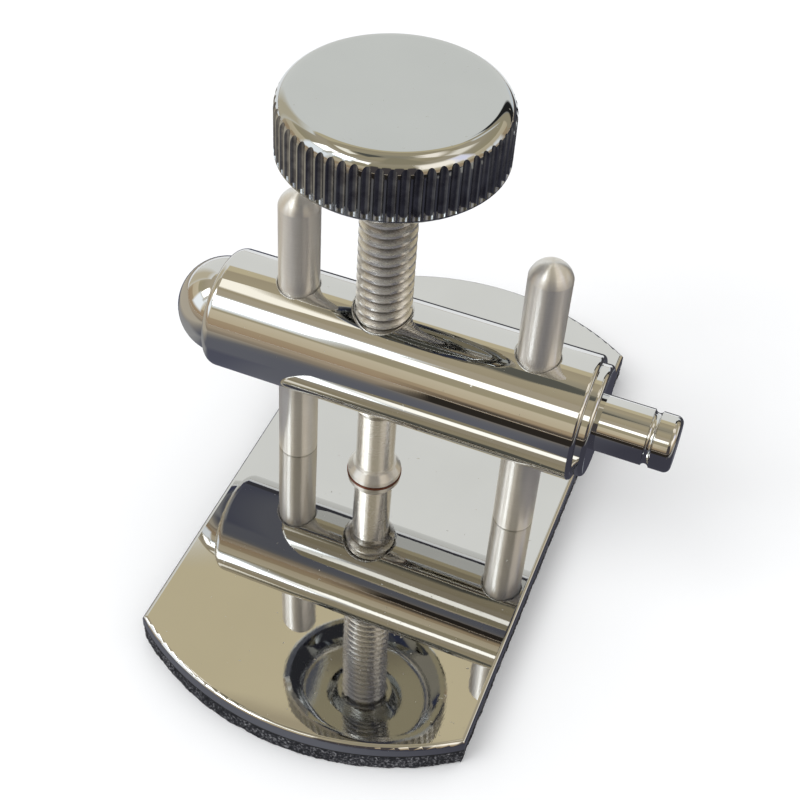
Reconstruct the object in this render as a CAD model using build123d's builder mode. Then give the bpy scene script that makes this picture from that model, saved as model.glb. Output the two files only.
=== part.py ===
"""Small screw-adjusted crossbar clamp on a padded base plate.

Units are millimetres and +Z is up. The origin is the centre of the pad's underside, X runs along
the crossbar and Y along the base plate.
"""
from build123d import *
import os

os.makedirs("parts", exist_ok=True)

# ---- driving dimensions ------------------------------------------------------------------------
plate_w = 38.1  # base plate, across X
plate_len = 76.2  # base plate, between the tops of its two end arcs
plate_side_len = 63.5  # straight length of each long side
plate_t = 1.5
plate_round = 0.5  # polished rounding of the top edge
film_t = 0.2  # adhesive film between the plate and the pad
foam_t = 2.4
pocket_r = 4.2  # space in film and foam for the screw's lower end
pocket_depth = 1.6  # into the foam; its underside stays whole

bar_y = -1.0  # posts, screw and crossbar stand a little forward of the plate's centre
screw_x = -3.8
post_x = 14.1  # each post is this far from the plate's centre line

post_r = 2.38
post_h = 39.7
post_tip_h = 1.9  # the domed tip meets the post in a faint crease
foot_bevel = 0.15
guide_gap = 0.05  # radial running clearance on posts and screw
post_screw_r = 1.25
post_screw_head_r = 2.3
post_screw_head_h = 1.05
post_screw_len = 6.5
post_socket_r = 0.87  # corner radius of the hexagon socket
post_socket_depth = 0.7

thread_r = 3.175
thread_pitch = 1.27
thread_depth = 0.55
thread_crest = 0.16  # half width of the flat crest
thread_flank = 0.54  # half width of the tooth at its root
thread_sink = 0.06  # the tooth's root lies this far inside the core
thread_start = 11.0  # height of the thread's lower end above the plate
shank_r = 2.35
journal_r = 2.0
journal_gap = 0.06
groove_r = 1.6
clip_t = 0.4
clip_r = 3.1
clip_mouth = 2.2  # width of the clip's open side
washer_t = 0.4
washer_r = 3.6
axial_gap = 0.05
thrust_washer_t = 0.15
thrust_washer_r = 3.35
collar_r = 3.25
collar_rim_h = 0.6
collar_h = 1.5
collar_top_r = 2.65
journal_tip = 0.5  # length of the journal below the clip
tip_bevel = 0.2

knob_z = 48.0  # height of the knob's lower edge above the plate
knob_r = 12.05
knob_h = 7.3
knob_round = 2.1
knob_foot_bevel = 0.3
knob_rim_r = 11.0  # mouth of the recess under the knob
knob_floor_r = 9.8
knob_floor_h = 4.2
knob_floor_round = 0.9
hub_base_r = 5.6
hub_lip_r = 3.95
hub_lip_h = 2.2
hub_mouth_r = 3.4
hub_mouth_h = 3.0
tenon_r = 2.6
tenon_h = 5.5
flute_count = 62
flute_r = 0.58
flute_depth = 0.32
flute_foot = 0.45  # the flutes stop this far above the knob's lower edge

bar_z = 19.8  # crossbar axis above the plate, as set in the rest pose
bar_r = 7.14
bar_x0 = -23.55
bar_x1 = 20.65
bar_round = 1.15
bar_end_round = 0.45
plug_r = 4.0
dome_plug_len = 5.2
spigot_plug_wall = 1.0  # steel left between the spigot's plug and the right post's hole
post_hole_round = 0.2  # at the mouths of the crossbar's holes
screw_hole_round = 0.35

dome_r = 5.85
dome_len = 5.6

flange_r = 6.35
flange_t = 1.2
flange_round = 0.5
spigot_r = 3.175
spigot_len = 8.55
spigot_tip_round = 0.75
spigot_groove_x = 5.85  # middle of the groove, from the flange's outer face
spigot_groove_r = 0.45
spigot_groove_depth = 0.32

# ---- levels worked out from the sizes above ----------------------------------------------------
plate_z0 = foam_t + film_t
plate_z1 = plate_z0 + plate_t
clip_z1 = plate_z0 - washer_t - axial_gap
journal_z0 = clip_z1 - clip_t - journal_tip
collar_z0 = plate_z1 + thrust_washer_t + axial_gap
thread_z0 = plate_z1 + thread_start
knob_z0 = plate_z1 + knob_z
bar_axis_z = plate_z1 + bar_z
spigot_plug_len = bar_x1 - post_x - post_r - spigot_plug_wall
post_tip_r = (post_r**2 + post_tip_h**2) / (2 * post_tip_h)
post_places = {"left": -post_x, "right": post_x}

# Planes that stand upright through an axis: local x is the radius, local y is the height.
screw_section = Plane(origin=(screw_x, bar_y, 0), x_dir=(1, 0, 0), z_dir=(0, -1, 0))
bar_section = Plane(origin=(0, bar_y, bar_axis_z), x_dir=(1, 0, 0), z_dir=(0, -1, 0))
screw_axis = Axis((screw_x, bar_y, 0), (0, 0, 1))
bar_axis = Axis((0, bar_y, bar_axis_z), (1, 0, 0))


def save(piece, name):
    piece.part.label = name
    export_step(piece.part, f"parts/{name}.step")


# The base outline: straight sides closed by an arc at each end.
side = plate_side_len / 2
tip = plate_len / 2
edge = plate_w / 2
with BuildSketch() as outline:
    with BuildLine():
        Line((-edge, -side), (-edge, side))
        ThreePointArc((-edge, side), (0, tip), (edge, side))
        Line((edge, side), (edge, -side))
        ThreePointArc((edge, -side), (0, -tip), (-edge, -side))
    make_face()


# ---- base --------------------------------------------------------------------------------------
with BuildPart() as base_plate:
    with BuildSketch(Plane.XY.offset(plate_z0)):
        add(outline.sketch)
    extrude(amount=plate_t)
    fillet(base_plate.faces().sort_by(Axis.Z)[-1].edges(), radius=plate_round)
    with BuildSketch(Plane.XY.offset(plate_z0)):
        with Locations((screw_x, bar_y)):
            Circle(journal_r + journal_gap)
    extrude(amount=plate_t, mode=Mode.SUBTRACT)
    with Locations((-post_x, bar_y, plate_z0), (post_x, bar_y, plate_z0)):
        Cone(
            post_screw_head_r,
            post_screw_r,
            post_screw_head_h,
            align=(Align.CENTER, Align.CENTER, Align.MIN),
            mode=Mode.SUBTRACT,
        )
        Cylinder(
            post_screw_r,
            plate_t,
            align=(Align.CENTER, Align.CENTER, Align.MIN),
            mode=Mode.SUBTRACT,
        )
save(base_plate, "base_plate")

with BuildPart() as adhesive_film:
    with BuildSketch(Plane.XY.offset(foam_t)):
        add(outline.sketch)
        with Locations((screw_x, bar_y)):
            Circle(pocket_r, mode=Mode.SUBTRACT)
    extrude(amount=film_t)
save(adhesive_film, "adhesive_film")

with BuildPart() as foam_pad:
    with BuildSketch():
        add(outline.sketch)
    extrude(amount=foam_t)
    with BuildSketch(Plane.XY.offset(foam_t)):
        with Locations((screw_x, bar_y)):
            Circle(pocket_r)
    extrude(amount=-pocket_depth, mode=Mode.SUBTRACT)
save(foam_pad, "foam_pad")

# ---- guide posts and the screws that hold them from below ---------------------------------------
for side_name, x in post_places.items():
    section = Plane(origin=(x, bar_y, plate_z1), x_dir=(1, 0, 0), z_dir=(0, -1, 0))
    tapped = post_screw_len - plate_t
    with BuildPart() as guide_post:
        with BuildSketch(section):
            with BuildLine():
                Line((0, tapped), (post_screw_r, tapped))
                Line((post_screw_r, tapped), (post_screw_r, 0))
                Line((post_screw_r, 0), (post_r - foot_bevel, 0))
                Line((post_r - foot_bevel, 0), (post_r, foot_bevel))
                Line((post_r, foot_bevel), (post_r, post_h - post_tip_h))
                RadiusArc((post_r, post_h - post_tip_h), (0, post_h), -post_tip_r)
                Line((0, post_h), (0, tapped))
            make_face()
        revolve(axis=Axis((x, bar_y, 0), (0, 0, 1)))
    save(guide_post, f"guide_post_{side_name}")

    with BuildPart() as post_screw:
        with Locations((x, bar_y, plate_z0)):
            Cone(
                post_screw_head_r,
                post_screw_r,
                post_screw_head_h,
                align=(Align.CENTER, Align.CENTER, Align.MIN),
            )
            Cylinder(post_screw_r, post_screw_len, align=(Align.CENTER, Align.CENTER, Align.MIN))
        with BuildSketch(Plane.XY.offset(plate_z0)):
            with Locations((x, bar_y)):
                RegularPolygon(post_socket_r, 6)
        extrude(amount=post_socket_depth, mode=Mode.SUBTRACT)
    save(post_screw, f"post_screw_{side_name}")

# ---- lead screw and what holds it in the plate ---------------------------------------------------
root_r = thread_r - thread_depth
thread_z1 = knob_z0 + hub_mouth_h
with BuildPart() as lead_screw:
    with BuildSketch(screw_section):
        with BuildLine():
            Polyline(
                (0, journal_z0),
                (journal_r - tip_bevel, journal_z0),
                (journal_r, journal_z0 + tip_bevel),
                (journal_r, clip_z1 - clip_t),
                (groove_r, clip_z1 - clip_t),
                (groove_r, clip_z1),
                (journal_r, clip_z1),
                (journal_r, collar_z0),
                (shank_r, collar_z0),
                (shank_r, thread_z0),
                (root_r, thread_z0 + root_r - shank_r),
                (root_r, thread_z1),
                (tenon_r, thread_z1),
                (tenon_r, knob_z0 + tenon_h),
                (0, knob_z0 + tenon_h),
                close=True,
            )
        make_face()
    revolve(axis=screw_axis)
    with BuildLine() as helix_path:
        Helix(
            pitch=thread_pitch,
            height=thread_z1 - thread_z0 - 2 * thread_flank,
            radius=root_r,
            center=(screw_x, bar_y, thread_z0 + thread_flank),
        )
    helix = helix_path.line
    with BuildSketch(Plane(origin=helix @ 0, x_dir=(1, 0, 0), z_dir=helix % 0)):
        with BuildLine():
            Polyline(
                (-thread_sink, -thread_flank),
                (thread_depth, -thread_crest),
                (thread_depth, thread_crest),
                (-thread_sink, thread_flank),
                close=True,
            )
        make_face()
    sweep(path=helix, is_frenet=True)
save(lead_screw, "lead_screw")

with BuildPart() as thrust_collar:
    with BuildSketch(screw_section):
        with BuildLine():
            Polyline(
                (shank_r, collar_z0),
                (collar_r, collar_z0),
                (collar_r, collar_z0 + collar_rim_h),
                (collar_top_r, collar_z0 + collar_h),
                (shank_r, collar_z0 + collar_h),
                close=True,
            )
        make_face()
    revolve(axis=screw_axis)
save(thrust_collar, "thrust_collar")

with BuildPart() as thrust_washer:
    with BuildSketch(Plane.XY.offset(plate_z1)):
        with Locations((screw_x, bar_y)):
            Circle(thrust_washer_r)
            Circle(journal_r + journal_gap, mode=Mode.SUBTRACT)
    extrude(amount=thrust_washer_t)
save(thrust_washer, "thrust_washer")

with BuildPart() as retaining_washer:
    with BuildSketch(Plane.XY.offset(plate_z0)):
        with Locations((screw_x, bar_y)):
            Circle(washer_r)
            Circle(journal_r + journal_gap, mode=Mode.SUBTRACT)
    extrude(amount=-washer_t)
save(retaining_washer, "retaining_washer")

with BuildPart() as retaining_clip:
    with BuildSketch(Plane.XY.offset(clip_z1)):
        with Locations((screw_x, bar_y)):
            Circle(clip_r)
            Circle(groove_r, mode=Mode.SUBTRACT)
            with Locations((0, -clip_r)):
                Rectangle(clip_mouth, 2 * clip_r, mode=Mode.SUBTRACT)
    extrude(amount=-clip_t)
save(retaining_clip, "retaining_clip")

# ---- knob: dished underside, rounded top edge, straight flutes ------------------------------------
with BuildPart() as knob:
    with BuildSketch(Plane(origin=(screw_x, bar_y, knob_z0), x_dir=(1, 0, 0), z_dir=(0, -1, 0))):
        with BuildLine():
            Polyline(
                (0, knob_h),
                (0, tenon_h),
                (tenon_r, tenon_h),
                (tenon_r, hub_mouth_h),
                (hub_mouth_r, hub_mouth_h),
                (hub_mouth_r, hub_lip_h),
                (hub_lip_r, hub_lip_h),
                (hub_base_r, knob_floor_h),
                (knob_floor_r - knob_floor_round, knob_floor_h),
            )
            RadiusArc(
                (knob_floor_r - knob_floor_round, knob_floor_h),
                (knob_floor_r, knob_floor_h - knob_floor_round),
                knob_floor_round,
            )
            Polyline(
                (knob_floor_r, knob_floor_h - knob_floor_round),
                (knob_rim_r, 0),
                (knob_r - knob_foot_bevel, 0),
                (knob_r, knob_foot_bevel),
                (knob_r, knob_h - knob_round),
            )
            CenterArc((knob_r - knob_round, knob_h - knob_round), knob_round, 0, 90)
            Line((knob_r - knob_round, knob_h), (0, knob_h))
        make_face()
    revolve(axis=screw_axis)
    with BuildSketch(Plane.XY.offset(knob_z0 + flute_foot)):
        with Locations((screw_x, bar_y)):
            with PolarLocations(knob_r + flute_r - flute_depth, flute_count):
                Circle(flute_r)
    extrude(amount=knob_h, mode=Mode.SUBTRACT)
save(knob, "knob")

# ---- crossbar --------------------------------------------------------------------------------------
holes = [
    (-post_x, post_r + guide_gap, post_hole_round),
    (post_x, post_r + guide_gap, post_hole_round),
    (screw_x, thread_r + guide_gap, screw_hole_round),
]
with BuildPart() as crossbar:
    with BuildSketch(bar_section):
        with BuildLine():
            Line((bar_x0, 0), (bar_x0, bar_r - bar_round))
            CenterArc((bar_x0 + bar_round, bar_r - bar_round), bar_round, 90, 90)
            Line((bar_x0 + bar_round, bar_r), (bar_x1 - bar_end_round, bar_r))
            CenterArc((bar_x1 - bar_end_round, bar_r - bar_end_round), bar_end_round, 0, 90)
            Polyline((bar_x1, bar_r - bar_end_round), (bar_x1, 0), (bar_x0, 0))
        make_face()
    revolve(axis=bar_axis)
    for x, bore_r, mouth_round in holes:
        with BuildSketch(Plane.XY.offset(bar_axis_z)):
            with Locations((x, bar_y)):
                Circle(bore_r)
        extrude(amount=bar_r, both=True, mode=Mode.SUBTRACT)
        # Each mouth is as wide as its bore; the seam along the bar's top cuts the upper one in two.
        mouths = []
        for rim in crossbar.edges():
            box = rim.bounding_box()
            if abs(box.center().X - x) < 0.01 and abs(box.size.X - 2 * bore_r) < 0.01:
                mouths.append(rim)
        fillet(mouths, radius=mouth_round)
    with BuildSketch(Plane.YZ.offset(bar_x0)):
        with Locations((bar_y, bar_axis_z)):
            Circle(plug_r)
    extrude(amount=dome_plug_len, mode=Mode.SUBTRACT)
    with BuildSketch(Plane.YZ.offset(bar_x1)):
        with Locations((bar_y, bar_axis_z)):
            Circle(plug_r)
    extrude(amount=-spigot_plug_len, mode=Mode.SUBTRACT)
save(crossbar, "crossbar")

dome_x = bar_x0 - dome_len + dome_r
dome_base_r = (dome_r**2 - (dome_x - bar_x0) ** 2) ** 0.5
dome_diagonal = dome_r * 0.5**0.5
with BuildPart() as end_dome:
    with BuildSketch(bar_section):
        with BuildLine():
            Polyline(
                (bar_x0 - dome_len, 0),
                (bar_x0 + dome_plug_len, 0),
                (bar_x0 + dome_plug_len, plug_r),
                (bar_x0, plug_r),
                (bar_x0, dome_base_r),
            )
            ThreePointArc(
                (bar_x0, dome_base_r),
                (dome_x - dome_diagonal, dome_diagonal),
                (bar_x0 - dome_len, 0),
            )
        make_face()
    revolve(axis=bar_axis)
save(end_dome, "end_dome")

flange_x = bar_x1 + flange_t
spigot_x1 = flange_x + spigot_len
groove_half = (spigot_groove_r**2 - (spigot_groove_r - spigot_groove_depth) ** 2) ** 0.5
groove_mid = flange_x + spigot_groove_x
with BuildPart() as end_spigot:
    with BuildSketch(bar_section):
        with BuildLine():
            Polyline(
                (groove_mid - groove_half, spigot_r),
                (flange_x, spigot_r),
                (flange_x, flange_r - flange_round),
            )
            CenterArc((flange_x - flange_round, flange_r - flange_round), flange_round, 0, 90)
            Polyline(
                (flange_x - flange_round, flange_r),
                (bar_x1, flange_r),
                (bar_x1, plug_r),
                (bar_x1 - spigot_plug_len, plug_r),
                (bar_x1 - spigot_plug_len, 0),
                (spigot_x1, 0),
                (spigot_x1, spigot_r - spigot_tip_round),
            )
            CenterArc(
                (spigot_x1 - spigot_tip_round, spigot_r - spigot_tip_round), spigot_tip_round, 0, 90
            )
            Line((spigot_x1 - spigot_tip_round, spigot_r), (groove_mid + groove_half, spigot_r))
            ThreePointArc(
                (groove_mid + groove_half, spigot_r),
                (groove_mid, spigot_r - spigot_groove_depth),
                (groove_mid - groove_half, spigot_r),
            )
        make_face()
    revolve(axis=bar_axis)
save(end_spigot, "end_spigot")
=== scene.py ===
"""Looks for the crossbar clamp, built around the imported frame. Lengths are metres, +Z is up."""
import math

import bpy
import bmesh
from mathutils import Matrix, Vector, noise


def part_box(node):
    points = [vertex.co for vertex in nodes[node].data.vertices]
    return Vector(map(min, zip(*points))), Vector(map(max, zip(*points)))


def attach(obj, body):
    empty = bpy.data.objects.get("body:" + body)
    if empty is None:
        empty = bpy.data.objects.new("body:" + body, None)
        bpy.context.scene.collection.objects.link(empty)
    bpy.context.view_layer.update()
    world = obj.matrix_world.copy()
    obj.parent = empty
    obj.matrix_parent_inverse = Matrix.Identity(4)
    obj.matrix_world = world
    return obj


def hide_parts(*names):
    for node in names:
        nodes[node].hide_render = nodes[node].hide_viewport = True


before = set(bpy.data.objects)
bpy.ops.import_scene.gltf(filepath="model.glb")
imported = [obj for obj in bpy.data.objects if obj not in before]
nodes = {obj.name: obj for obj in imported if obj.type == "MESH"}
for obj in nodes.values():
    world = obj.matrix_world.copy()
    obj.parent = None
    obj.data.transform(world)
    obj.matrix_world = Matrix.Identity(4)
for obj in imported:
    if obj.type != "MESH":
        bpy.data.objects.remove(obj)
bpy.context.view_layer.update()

MM = 0.001


# ---- small helpers for node trees ---------------------------------------------------------------
class Tree:
    """A short way to write a node tree: put() makes a node, and links the sockets it is given."""

    def __init__(self, tree):
        self.tree = tree
        tree.nodes.clear()

    def put(self, kind, values=(), **settings):
        node = self.tree.nodes.new(kind)
        for key, value in settings.items():
            setattr(node, key, value)
        for key, value in dict(values).items():
            self.fill(node.inputs[key], value)
        return node

    def fill(self, socket, value):
        if isinstance(value, bpy.types.NodeSocket):
            self.tree.links.new(value, socket)
        else:
            socket.default_value = value

    def place(self):
        """Where a point is on its own object, in metres."""
        return self.put("ShaderNodeTexCoord").outputs["Object"]

    def math(self, operation, a, b=0.0, clamp=False):
        node = self.put("ShaderNodeMath", {0: a, 1: b}, operation=operation, use_clamp=clamp)
        return node.outputs[0]

    def vector(self, operation, a, b=(0.0, 0.0, 0.0)):
        return self.put("ShaderNodeVectorMath", {0: a, 1: b}, operation=operation).outputs[0]

    def length(self, vector):
        node = self.put("ShaderNodeVectorMath", {0: vector}, operation="LENGTH")
        return node.outputs["Value"]

    def scale(self, vector, amount):
        node = self.put("ShaderNodeVectorMath", {0: vector, "Scale": amount}, operation="SCALE")
        return node.outputs[0]

    def stretch(self, vector, scale):
        return self.put("ShaderNodeMapping", {"Vector": vector, "Scale": scale}).outputs[0]

    def split(self, vector):
        return self.put("ShaderNodeSeparateXYZ", {0: vector}).outputs

    def tilt(self, normal, lean):
        """A normal leant over by a small vector."""
        return self.vector("NORMALIZE", self.vector("ADD", normal, lean))

    def ramp(self, value, stops, interpolation="LINEAR"):
        node = self.put("ShaderNodeValToRGB", {0: value})
        ramp = node.color_ramp
        ramp.interpolation = interpolation
        while len(ramp.elements) < len(stops):
            ramp.elements.new(1.0)
        for element, (place, colour) in zip(ramp.elements, stops):
            element.position = place
            element.color = grey(colour) if isinstance(colour, float) else (*colour, 1.0)
        return node.outputs[0]

    def mix(self, factor, a, b, blend="MIX"):
        node = self.put("ShaderNodeMix", data_type="RGBA", blend_type=blend)
        for key, value in ((0, factor), (6, a), (7, b)):
            self.fill(node.inputs[key], value)
        return node.outputs[2]

    def noise(self, place, per_m=1.0, detail=2.0, roughness=0.5):
        """Cloudy values of 0 to 1, with so many cells in a metre."""
        values = {"Vector": place, "Scale": per_m, "Detail": detail, "Roughness": roughness}
        return self.put("ShaderNodeTexNoise", values).outputs[0]

    def bump(self, height, strength, depth, **inputs):
        values = {"Height": height, "Strength": strength, "Distance": depth, **inputs}
        return self.put("ShaderNodeBump", values).outputs[0]

    def outward(self, place, centre):
        """The level vector to a place from an upright axis."""
        away = self.vector("SUBTRACT", place, (*centre, 0.0))
        return self.vector("MULTIPLY", away, (1.0, 1.0, 0.0))

    def radius(self, place, centre):
        """Distance in mm of a place from an upright axis."""
        return self.math("DIVIDE", self.length(self.outward(place, centre)), MM)

    def between(self, value, at_zero, at_one):
        """0 to 1 as a value goes from one number to the other, held flat beyond them."""
        gone = self.math("SUBTRACT", value, at_zero)
        return self.math("DIVIDE", gone, at_one - at_zero, clamp=True)

    def within(self, spans, soft):
        """1 where every value is inside its span (value, low, high), fading over twice soft."""
        inside = None
        for value, low, high in spans:
            away = self.math("ABSOLUTE", self.math("SUBTRACT", value, (low + high) / 2))
            depth = self.math("SUBTRACT", (high - low) / 2, away)
            inside = depth if inside is None else self.math("MINIMUM", inside, depth)
        return self.math("ADD", self.math("DIVIDE", inside, 2 * soft), 0.5, clamp=True)

    def finish(self, shader, **values):
        made = self.put(shader, values)
        self.put("ShaderNodeOutputMaterial", {"Surface": made.outputs[0]})


def grey(value):
    return (value, value, value, 1.0)


def material(name):
    made = bpy.data.materials.new(name)
    made.use_nodes = True
    return made, Tree(made.node_tree)


def upright_axis(name):
    """Where a turned piece's axis stands, from its own vertices."""
    places = [vertex.co for vertex in nodes[name].data.vertices]
    return [(min(p[k] for p in places) + max(p[k] for p in places)) / 2 for k in (0, 1)]


# ---- polished steel -----------------------------------------------------------------------------
STEEL = ((0.69, 0.688, 0.68), (0.72, 0.718, 0.71))  # the dark and light of its faint clouds
SPECK_ROUGHNESS = grey(0.35)
POLISH_DEPTH = 0.01 * MM  # of the buffing marks and of the slow waves

# The height of a normal on faces of two kinds: where the kind starts, and where it is in full.
UPRIGHT = (0.30, 0.15)
UNDERSIDE = (-0.95, -0.99)

FLUTE_TOP, FLUTE_FLOOR = 12.18, 11.88  # mm from the knob's axis
# The darker colour and roughness in the knob's flutes, in patches, fullest at their floors.
FLUTE_DARK, FLUTE_DARK_ROUGHNESS = (0.16, 0.16, 0.18, 1.0), grey(0.22)
DISH_PER_M = 7.0  # how far the knob's underside leans in, for each metre from its axis
STEEPEST = 4.0  # the tilt in degrees that fills half of a slope ramp's range


def flute_darkening(t, where, normal, axis):
    """1 in the flutes of the knob, patchy, and 0 on its flat and rounded faces."""
    depth = t.between(t.radius(where, axis), FLUTE_TOP, FLUTE_FLOOR)
    upright = t.between(t.math("ABSOLUTE", t.split(normal)[2]), *UPRIGHT)
    patchy = t.ramp(t.noise(where, 700.0, detail=3.0), [(0.35, 0.55), (0.65, 1.0)])
    return t.math("MULTIPLY", t.math("MULTIPLY", depth, upright), patchy)


def dished(t, where, normal, axis):
    """The normal, leant towards the axis on faces that look straight down."""
    underside = t.between(t.split(normal)[2], *UNDERSIDE)
    outward = t.put(
        "ShaderNodeVectorTransform",
        {0: t.outward(where, axis)},
        vector_type="VECTOR",
        convert_from="OBJECT",
        convert_to="WORLD",
    ).outputs[0]
    return t.tilt(normal, t.scale(outward, t.math("MULTIPLY", underside, -DISH_PER_M)))


def buffed(t, where, normal, slopes):
    """The normal, tilted forward by a different amount at each place along Y."""
    low, high = slopes[0][0], slopes[-1][0]
    along = t.math("SUBTRACT", t.split(where)[1], low * MM)
    along = t.math("DIVIDE", along, (high - low) * MM)
    stops = [((y - low) / (high - low), 0.5 + tilt / STEEPEST / 2) for y, tilt in slopes]
    forward = t.math("SUBTRACT", t.ramp(along, stops, "EASE"), 0.5)
    forward = t.math("MULTIPLY", forward, -2 * math.radians(STEEPEST))
    return t.tilt(normal, t.put("ShaderNodeCombineXYZ", {1: forward}).outputs[0])


def polished_steel(name, tint=(1.0, 1.0, 1.0), slopes=None, fluted_axis=None):
    """slopes: pairs of a place along Y in mm and the forward tilt there in degrees.

    fluted_axis: where the axis stands, for a knob whose flutes are darker in patches, and a dished
    underside."""
    made, t = material(name)
    where = t.place()
    cloud = t.noise(where, 90.0, detail=3.0)
    smear = t.noise(t.stretch(where, (400.0, 60.0, 200.0)), detail=4.0, roughness=0.6)
    rough = t.ramp(t.math("MULTIPLY", cloud, smear), [(0.15, 0.008), (0.5, 0.03)])
    specks = t.ramp(t.noise(where, 2600.0, detail=0.0), [(0.84, 0.0), (0.87, 1.0)])
    rough = t.mix(specks, rough, SPECK_ROUGHNESS, "ADD")
    low, high = (tuple(a * b for a, b in zip(steel, tint)) for steel in STEEL)
    colour = t.ramp(cloud, [(0.3, low), (0.7, high)])
    normal = t.put("ShaderNodeNewGeometry").outputs["Normal"]
    if fluted_axis:
        in_flutes = flute_darkening(t, where, normal, fluted_axis)
        colour = t.mix(in_flutes, colour, FLUTE_DARK)
        rough = t.mix(in_flutes, rough, FLUTE_DARK_ROUGHNESS)
        normal = dished(t, where, normal, fluted_axis)
    if slopes:
        normal = buffed(t, where, normal, slopes)
    marks = t.noise(t.stretch(where, (9000.0, 1500.0, 3000.0)))
    normal = t.bump(marks, strength=0.04, depth=POLISH_DEPTH, Normal=normal)
    waves = t.noise(where, 120.0, detail=1.0)
    normal = t.bump(waves, strength=1.0, depth=POLISH_DEPTH, Normal=normal)
    t.finish(
        "ShaderNodeBsdfPrincipled",
        **{"Base Color": colour, "Metallic": 1.0, "Roughness": rough, "Normal": normal},
    )
    return made


# ---- satin turned steel -------------------------------------------------------------------------
THREAD_CREST, THREAD_FLOOR = 3.05, 2.65  # mm from the screw's axis
THREAD_FOOT = 15.1 * MM  # the height at which the thread ends
# The colour of the painted shade in the thread's grooves.
THREAD_PAINTED_SHADE = (0.42, 0.40, 0.37, 1.0)
TURNING_DEPTH = 0.02 * MM
QUARTER_TURN = 0.25


def turned_steel(name, light, dark, roughs, rings, stretch=0.0, thread_axis=None, metal=1.0):
    """Turned about a vertical axis: rings of fine marks, and highlights drawn out along the axis.

    roughs: the roughness of the light and of the dark parts. rings: how many marks in a metre.
    thread_axis: where the axis stands of a thread whose grooves get painted shade, darker towards
    their floors."""
    made, t = material(name)
    where = t.place()
    turning = t.noise(t.stretch(where, (700.0, 700.0, rings)), detail=3.0, roughness=0.6)
    cloud = t.noise(where, 260.0, detail=4.0, roughness=0.6)
    tone = t.math("ADD", t.math("MULTIPLY", turning, 0.6), t.math("MULTIPLY", cloud, 0.4))
    colour = t.ramp(tone, [(0.3, dark), (0.68, light)])
    rough = t.ramp(tone, [(0.3, roughs[1]), (0.7, roughs[0])])
    if thread_axis:
        # Painted shade in the thread's grooves: the colour darkens towards their floors, above the
        # thread's foot.
        depth = t.between(t.radius(where, thread_axis), THREAD_CREST, THREAD_FLOOR)
        threaded = t.math("GREATER_THAN", t.split(where)[2], THREAD_FOOT)
        colour = t.mix(t.math("MULTIPLY", depth, threaded), colour, THREAD_PAINTED_SHADE)
    round_axis = t.put("ShaderNodeTangent", direction_type="RADIAL", axis="Z").outputs[0]
    t.finish(
        "ShaderNodeBsdfPrincipled",
        **{
            "Base Color": colour,
            "Metallic": metal,
            "Roughness": rough,
            "Normal": t.bump(turning, strength=0.3, depth=TURNING_DEPTH),
            "Anisotropic": stretch,
            "Anisotropic Rotation": QUARTER_TURN,
            "Tangent": round_axis,
        },
    )
    return made


def adhesive():
    made, t = material("adhesive")
    cloud = t.noise(t.place(), 1500.0, detail=3.0)
    colour = t.ramp(cloud, [(0.3, 0.006), (0.7, 0.02)])
    rough = t.ramp(cloud, [(0.3, 0.5), (0.7, 0.7)])
    t.finish("ShaderNodeBsdfPrincipled", **{"Base Color": colour, "Roughness": rough})
    return made


PLATE_SLOPES = [
    (-38, 2.4),
    (-35.3, 1.5),
    (-32, 0.8),
    (-21, 0.4),
    (-7, -0.6),
    (4, 0.0),
    (30, 0.0),
    (38, -2.4),
]
mirror = polished_steel("mirror_steel")
knob_mirror = polished_steel(
    "knob_steel", tint=(0.86, 0.88, 0.885), fluted_axis=upright_axis("knob")
)
plate_mirror = polished_steel("plate_steel", slopes=PLATE_SLOPES)
satin = turned_steel(
    "satin_steel",
    light=(0.90, 0.885, 0.86),
    dark=(0.82, 0.80, 0.78),
    roughs=(0.32, 0.40),
    rings=14000.0,
    stretch=0.95,
    metal=0.87,
)
screw_steel = turned_steel(
    "screw_steel",
    light=(0.90, 0.88, 0.85),
    dark=(0.80, 0.78, 0.75),
    roughs=(0.21, 0.30),
    rings=14000.0,
    stretch=0.3,
    thread_axis=upright_axis("lead_screw"),
    metal=0.87,
)
plain_steel = turned_steel(
    "plain_steel",
    light=(0.50, 0.50, 0.49),
    dark=(0.36, 0.36, 0.35),
    roughs=(0.32, 0.45),
    rings=5000.0,
)
copper = turned_steel(
    "copper",
    light=(0.30, 0.12, 0.08),
    dark=(0.12, 0.05, 0.04),
    roughs=(0.35, 0.5),
    rings=6000.0,
)
finishes = {
    "base_plate": plate_mirror,
    "knob": knob_mirror,
    "crossbar": mirror,
    "end_dome": mirror,
    "end_spigot": mirror,
    "guide_post_left": satin,
    "guide_post_right": satin,
    "lead_screw": screw_steel,
    "thrust_collar": satin,
    "thrust_washer": copper,
    "retaining_washer": plain_steel,
    "retaining_clip": plain_steel,
    "post_screw_left": plain_steel,
    "post_screw_right": plain_steel,
    "adhesive_film": adhesive(),
}
for name, finish in finishes.items():
    materials = nodes[name].data.materials
    materials.clear()
    materials.append(finish)


# ---- foam pad -----------------------------------------------------------------------------------
EDGE_STEP = 0.15 * MM  # between points round the pad
EDGE_ROWS = 20  # of faces up the cut edge
EDGE_TRIM = 0.07  # mm that the whole edge stands back
TEAR_WAVES = ((0.8, 0.09), (3.1, 0.08))  # waves per mm and height in mm
PITS_PER_MM, PIT_REACH, PIT_DEPTH = 2.4, 0.6, 0.16
SHOULDER = 0.16 * MM  # the edge's extra set-back at the top and the bottom
SHOULDER_POWER = 6
POCKET_RADIUS, POCKET_DEPTH = 4.2 * MM, 1.6 * MM
POCKET_SIDES = 48
FLAT = 0.9  # the height of a normal above which a face is flat, not part of the edge
CLOSE = 1e-6
GRAIN_DEPTH = 0.08 * MM


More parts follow.
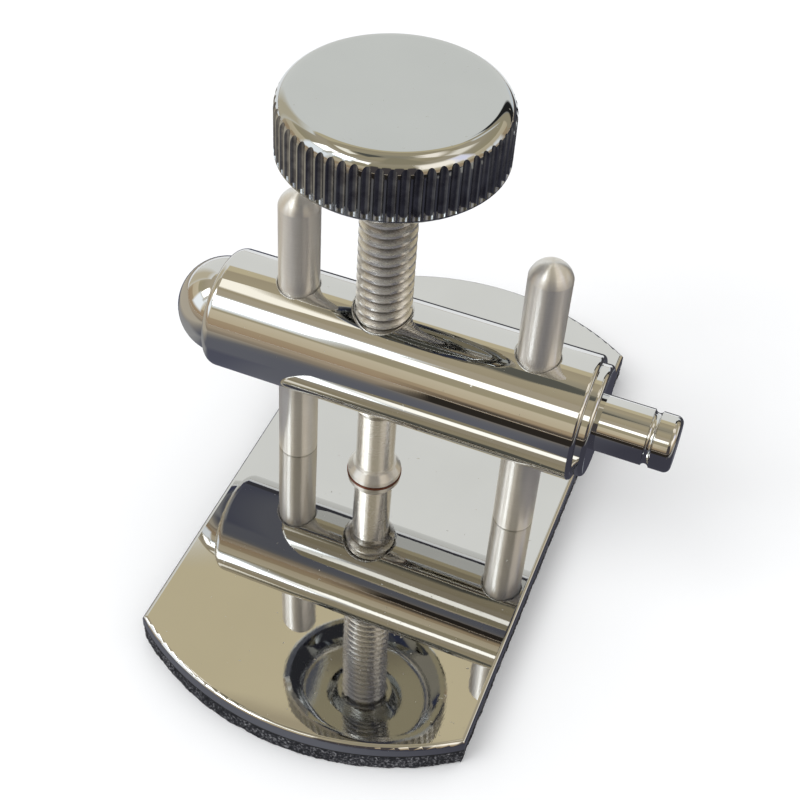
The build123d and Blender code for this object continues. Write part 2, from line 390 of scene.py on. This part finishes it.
def foam_material():
    made, t = material("foam")
    where = t.place()
    grain = t.noise(where, 3600.0, roughness=0.6)
    blotch = t.noise(where, 500.0)
    tone = t.math("ADD", t.math("MULTIPLY", grain, 0.8), t.math("MULTIPLY", blotch, 0.2))
    stops = [
        (0.40, (0.008, 0.009, 0.013)),
        (0.52, (0.020, 0.021, 0.028)),
        (0.62, (0.12, 0.12, 0.13)),
        (0.72, (0.30, 0.30, 0.32)),
    ]
    t.finish(
        "ShaderNodeBsdfPrincipled",
        **{
            "Base Color": t.ramp(tone, stops),
            "Roughness": t.ramp(grain, [(0.4, 0.95), (0.7, 0.7)]),
            "Normal": t.bump(grain, strength=0.8, depth=GRAIN_DEPTH),
        },
    )
    return made


def pad_outline(high, corner_y):
    """Points and outward normals round the pad: straight sides and an arc at each end."""
    rise = high.y - corner_y
    radius = (high.x**2 + rise**2) / (2 * rise)
    half_turn = math.asin(high.x / radius)
    centre_y = high.y - radius
    points = []
    for end in (1, -1):
        count = round(2 * corner_y / EDGE_STEP)
        for i in range(count):
            y = end * (2 * corner_y * i / count - corner_y)
            points.append(((end * high.x, y), (end, 0.0)))
        count = round(2 * half_turn * radius / EDGE_STEP)
        for i in range(count):
            turn = half_turn - 2 * half_turn * i / count
            normal = (end * math.sin(turn), end * math.cos(turn))
            place = (radius * normal[0], end * centre_y + radius * normal[1])
            points.append((place, normal))
    return points


def torn(x, y, z):
    """How far the cut edge stands back at a place, before its shoulders."""
    here = Vector((x, y, z)) * (1 / MM)
    coarse, fine = (noise.noise(here * per_mm) * height for per_mm, height in TEAR_WAVES)
    cells = min(noise.voronoi(here * PITS_PER_MM)[0][0], PIT_REACH)
    inward = EDGE_TRIM + coarse + fine + PIT_DEPTH * (PIT_REACH - cells)
    return max(inward, 0.0) * MM


def foam_pad(node, pocket_centre):
    """The pad as cut foam: a torn, pitted edge, a flat underside and a pocket under the screw."""
    low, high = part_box(node)
    corner_y = max(v.co.y for v in nodes[node].data.vertices if v.co.x > high.x - CLOSE)
    points = pad_outline(high, corner_y)
    built = bmesh.new()
    loops = []
    for j in range(EDGE_ROWS + 1):
        level = j / EDGE_ROWS
        z = low.z + level * (high.z - low.z)
        shoulder = SHOULDER * (abs(2 * level - 1) ** SHOULDER_POWER)
        loop = []
        for (x, y), (nx, ny) in points:
            inward = torn(x, y, z) + shoulder
            loop.append(built.verts.new((x - nx * inward, y - ny * inward, z)))
        loops.append(loop)
    for below, above in zip(loops, loops[1:]):
        for i in range(len(points)):
            k = (i + 1) % len(points)
            built.faces.new((below[i], below[k], above[k], above[i]))
    rim, foot = [], []
    for i in range(POCKET_SIDES):
        turn = 2 * math.pi * i / POCKET_SIDES
        x = pocket_centre.x + POCKET_RADIUS * math.cos(turn)
        y = pocket_centre.y + POCKET_RADIUS * math.sin(turn)
        rim.append(built.verts.new((x, y, high.z)))
        foot.append(built.verts.new((x, y, high.z - POCKET_DEPTH)))
    for i in range(POCKET_SIDES):
        k = (i + 1) % POCKET_SIDES
        built.faces.new((foot[k], foot[i], rim[i], rim[k]))
    built.faces.new(foot)
    open_edges = [e for e in built.edges if e.is_boundary]
    for level in (high.z, low.z):
        edges = [e for e in open_edges if abs(e.verts[0].co.z - level) < CLOSE / 10]
        bmesh.ops.triangle_fill(built, use_beauty=True, edges=edges)
    bmesh.ops.recalc_face_normals(built, faces=built.faces)
    for face in built.faces:
        face.smooth = abs(face.normal.z) < FLAT
    mesh = bpy.data.meshes.new("foam_edge")
    built.to_mesh(mesh)
    built.free()
    mesh.materials.append(foam_material())
    made = bpy.data.objects.new("foam_sheet", mesh)
    bpy.context.scene.collection.objects.link(made)
    return made


washer_low, washer_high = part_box("retaining_washer")
pad = foam_pad("foam_pad", (washer_low + washer_high) / 2)
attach(pad, "base")
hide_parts("foam_pad")


# ---- studio: a pale floor, and a glowing table, a painted reflection, that shows only in the metal ---
def disc(name, radius, height):
    mesh = bpy.data.meshes.new(name)
    built = bmesh.new()
    bmesh.ops.create_circle(built, cap_ends=True, segments=96, radius=radius)
    built.to_mesh(mesh)
    built.free()
    made = bpy.data.objects.new(name, mesh)
    made.location.z = height
    bpy.context.scene.collection.objects.link(made)
    return made


# Both lie just under the pad, and the table lies on the floor.
floor = disc("floor", 4.0, -0.02 * MM)
paint, t = material("pale_floor")
cloud = t.noise(t.place(), 30.0, detail=3.0)
stops = [(0.3, (0.84, 0.845, 0.855)), (0.7, (0.86, 0.865, 0.875))]
t.finish("ShaderNodeBsdfDiffuse", Color=t.ramp(cloud, stops))
floor.data.materials.append(paint)

# The table glows and lights nothing: its colours are painted reflection, with painted light and
# shade in them.
# It is darker close by and warmer and brighter further out, a painted falloff of light, with
# patches over that. A patch has two values to be inside of, across and along, as ranges in mm,
# then its colour and its soft edge in mm.
RINGS_REACH = 300.0
rings = [
    (0.20, (0.14, 0.145, 0.17)),
    (0.28, (0.16, 0.16, 0.17)),
    (0.45, (0.30, 0.25, 0.19)),
    (1.0, (0.44, 0.36, 0.26)),
]
SHADOW_LEAN = -0.21  # how far the front shadow's side shifts across for each mm along
table = disc("table", 3.0, -0.01 * MM)
table.visible_camera = False
table.visible_diffuse = False
table.visible_shadow = False
table.visible_transmission = False
paint, t = material("painted_reflection_table")
place_mm = t.scale(t.place(), 1 / MM)
x, y = t.split(place_mm)[:2]
shadow_side = t.math("ADD", x, t.math("MULTIPLY", y, SHADOW_LEAN))
patches = [
    (x, (-900, -60), (-110, 60), (0.52, 0.47, 0.38), 18.0),
    (x, (-62, -37), (-20, 12), (0.33, 0.33, 0.33), 5.0),
    (x, (-62, -40), (14, 95), (0.07, 0.08, 0.14), 3.0),
    (x, (-35, -26), (-25, 45), (0.10, 0.105, 0.14), 3.0),
    (x, (15, 600), (-900, 40), (0.06, 0.06, 0.08), 8.0),
    (x, (95, 600), (-70, 40), (0.42, 0.41, 0.38), 15.0),
    (x, (26.5, 31), (10, 45), (0.40, 0.42, 0.46), 1.0),
    # A painted shadow across the front of the table, its side leaning by SHADOW_LEAN.
    (shadow_side, (0, 900), (-900, -110), (0.03, 0.025, 0.02), 6.0),
    # Painted shade: a dark band on the table just behind the plate, up to the pale sheet.
    (x, (-45, 600), (36, 900), (0.06, 0.06, 0.07), 2.0),
    (x, (-900, 45), (87, 900), (0.95, 0.97, 0.98), 5.0),
]
shade = t.ramp(t.math("DIVIDE", t.length(place_mm), RINGS_REACH), rings)
for side, across, along, colour, soft in patches:
    shade = t.mix(t.within([(side, *across), (y, *along)], soft), shade, (*colour, 1.0))
# Painted reflection: the table glows with these colours, lights nothing, and shows only in the
# metal.
t.finish("ShaderNodeEmission", Color=shade, Strength=1.0)
paint.cycles.emission_sampling = "NONE"
table.data.materials.append(paint)


# ---- world: the room that the metal reflects ----------------------------------------------------
def climb(elevation):
    """The place on a ramp for an elevation in degrees: 0 is straight down, 1 straight up."""
    return 0.5 + 0.5 * math.sin(math.radians(elevation))


# Warm walls by height in degrees, and panels by their compass and height ranges in degrees.
# Bearing 0 faces the front, 90 the right side. Each panel has a colour, a soft edge, and a lean:
# how far its sides shift in bearing for each degree of height.
walls = [
    (-10, (0.25, 0.20, 0.15)),
    (0, (0.42, 0.31, 0.20)),
    (11.5, (0.46, 0.36, 0.23)),
    (12.5, (0.62, 0.53, 0.37)),
    (26, (0.67, 0.59, 0.43)),
    (28, (0.42, 0.37, 0.24)),
    (40, (0.42, 0.37, 0.26)),
    (52, (0.48, 0.42, 0.31)),
    (59, (0.48, 0.42, 0.31)),
    (61, (0.43, 0.37, 0.25)),
    (76, (0.47, 0.41, 0.28)),
    (90, (0.35, 0.32, 0.24)),
]
panels = [
    ((157, 262), (-20, 52.5), (0.84, 0.85, 0.82), 1.0, 0.0),
    ((238, 262), (-20, 45), (0.60, 0.54, 0.40), 6.0, 0.0),
    ((157, 175), (-20, 8), (0.74, 0.80, 0.86), 4.0, 0.0),
    ((136, 146), (2, 52.5), (0.42, 0.37, 0.26), 1.0, 0.62),
    ((146, 157), (-20, 44), (0.02, 0.02, 0.02), 1.2, 0.62),
    ((292, 321), (8, 32), (1.10, 1.16, 1.20), 3.0, 0.0),
    ((295, 357), (39, 48.3), (2.0, 1.98, 1.85), 0.8, 0.0),
    ((295, 315), (34, 51), (3.0, 3.0, 2.9), 2.0, 0.0),
    ((312, 317), (28, 44), (0.60, 0.58, 0.50), 2.0, 0.0),
    ((318, 340), (31, 51), (1.08, 1.14, 1.17), 2.0, 0.0),
    ((320, 338), (35.5, 49.5), (6.0, 6.4, 6.6), 1.5, 0.0),
    ((268, 314), (63.5, 70.5), (1.30, 1.24, 1.08), 1.0, 0.0),
    ((165, 245), (52, 61), (0.625, 0.548, 0.362), 1.0, 0.0),
    ((270, 330), (73, 85), (0.12, 0.12, 0.10), 2.0, 0.0),
    ((348, 405), (-20, 5), (0.10, 0.08, 0.06), 2.0, 0.0),
    ((359, 405), (-20, 34), (0.08, 0.07, 0.07), 2.0, 0.0),
    ((5, 60), (50, 90), (0.36, 0.32, 0.22), 5.0, 0.0),
    ((45, 95), (24, 44), (1.40, 1.30, 1.15), 4.0, 0.0),
    ((82, 97), (24, 44), (1.0, 1.0, 1.2), 4.0, 0.0),
    ((98, 158), (67, 78), (1.30, 1.20, 1.05), 3.0, 0.0),
    ((100, 134), (49, 62), (1.10, 1.03, 0.90), 3.0, 0.0),
    ((106, 130), (3, 14), (0.95, 0.97, 0.98), 3.0, 0.0),
]
FILL_LIGHT = grey(1.0)  # what matt surfaces get from all round
BACKDROP = grey(0.95)  # what the camera sees beyond the floor
HALF_TURN = 180.0

world = bpy.data.worlds.new("studio")
bpy.context.scene.world = world
world.use_nodes = True
t = Tree(world.node_tree)
parts = t.split(t.put("ShaderNodeTexCoord").outputs["Generated"])
rise = t.math("MULTIPLY", t.math("ARCSINE", parts[2]), math.degrees(1))
bearing = t.math("ARCTAN2", parts[0], t.math("MULTIPLY", parts[1], -1.0))
bearing = t.math("MULTIPLY", bearing, math.degrees(1))
level = t.math("ADD", t.math("MULTIPLY", parts[2], 0.5), 0.5)
light = t.ramp(level, [(climb(wall_rise), colour) for wall_rise, colour in walls])
for bearings, rises, colour, soft, lean in panels:
    middle = sum(bearings) / 2
    turned = t.math("SUBTRACT", bearing, middle)
    turned = t.math("SUBTRACT", turned, t.math("MULTIPLY", rise, lean))
    turned = t.math("WRAP", turned, HALF_TURN)
    turned.node.inputs[2].default_value = -HALF_TURN
    spans = [(turned, bearings[0] - middle, bearings[1] - middle), (rise, *rises)]
    light = t.mix(t.within(spans, soft), light, (*colour, 1.0))
path = t.put("ShaderNodeLightPath").outputs
light = t.mix(path["Is Diffuse Ray"], light, FILL_LIGHT)
light = t.mix(path["Is Camera Ray"], light, BACKDROP)
background = t.put("ShaderNodeBackground", {"Color": light})
t.put("ShaderNodeOutputWorld", {"Surface": background.outputs[0]})


# ---- key light ----------------------------------------------------------------------------------
KEY_PLACE = Vector((-0.35, -0.35, 0.65))
KEY_TARGET = Vector((0.0, 0.0, 0.02))
KEY_WIDTH = 0.6
KEY_WATTS = 2.2

data = bpy.data.lights.new("key", "AREA")
data.shape = "DISK"
data.size = KEY_WIDTH
data.energy = KEY_WATTS
key = bpy.data.objects.new("key", data)
key.location = KEY_PLACE
key.rotation_mode = "QUATERNION"
key.rotation_quaternion = (KEY_TARGET - KEY_PLACE).to_track_quat("-Z", "Y")
key.visible_glossy = False
bpy.context.scene.collection.objects.link(key)


# ---- camera -------------------------------------------------------------------------------------
CAMERA_PLACE = Vector((0.03572, -0.11066, 0.13543))
AZIMUTH, ELEVATION, ROLL = 0.3895, 0.7238, -0.0299  # radians
FOCAL_MM, SENSOR_MM = 63.65, 36.0
SHIFT = (0.0772, -0.1311)
CLIP = (0.005, 20.0)

back = Vector(
    (
        math.sin(AZIMUTH) * math.cos(ELEVATION),
        -math.cos(AZIMUTH) * math.cos(ELEVATION),
        math.sin(ELEVATION),
    )
)
across = (-back).cross(Vector((0, 0, 1))).normalized()
down = (-back).cross(across)
right = math.cos(ROLL) * across + math.sin(ROLL) * down
up = math.sin(ROLL) * across - math.cos(ROLL) * down
data = bpy.data.cameras.new("camera")
data.lens = FOCAL_MM
data.sensor_width = SENSOR_MM
data.shift_x, data.shift_y = SHIFT
data.clip_start, data.clip_end = CLIP
camera = bpy.data.objects.new("camera", data)
for column, axis in enumerate((right, up, back, CAMERA_PLACE)):
    for row in range(3):
        camera.matrix_world[row][column] = axis[row]
bpy.context.scene.collection.objects.link(camera)
bpy.context.scene.camera = camera
bpy.context.scene.view_settings.view_transform = "Standard"
